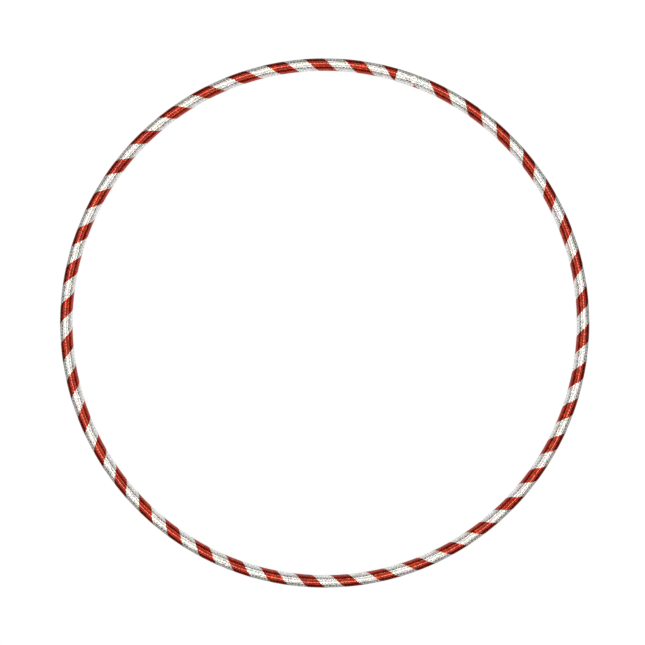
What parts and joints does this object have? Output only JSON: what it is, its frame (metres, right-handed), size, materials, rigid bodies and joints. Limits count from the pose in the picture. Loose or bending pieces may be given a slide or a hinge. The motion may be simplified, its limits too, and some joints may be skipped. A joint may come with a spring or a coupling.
{
  "type": "rhythmic gymnastics hoop",
  "caption": "Rigid plastic hoop of round tube, wound with silver foil tape and a red spiral ribbon, closed by a silver band over its plugged joint.",
  "frame": {"origin": "centre of the ring, on its mid-plane", "axes": "+Z along the hoop's axis, square to its plane, with the hoop lying flat; +X and +Y in its plane, with the seam band 18.3 degrees from +Y towards +X"},
  "size_m": [0.8906, 0.8905, 0.0208],
  "materials": {
    "tube_plastic": "extruded natural polyethylene tube",
    "plug_plastic": "turned plastic insert",
    "pin_metal": "plain drawn pin",
    "silver_foil": "metallised silver film tape embossed with a fine grid of small square cells",
    "red_foil": "metallised red film ribbon embossed with a fine grid of small square cells",
    "band_foil": "metallised silver film tape, lapped on itself over the joint"
  },
  "bodies": {
    "root": {"hoop_tube": "tube_plastic", "joint_plug": "plug_plastic", "joint_pins": "pin_metal", "silver_wrap": "silver_foil", "red_ribbon": "red_foil", "seam_band": "band_foil"}
  },
  "joints": []
}
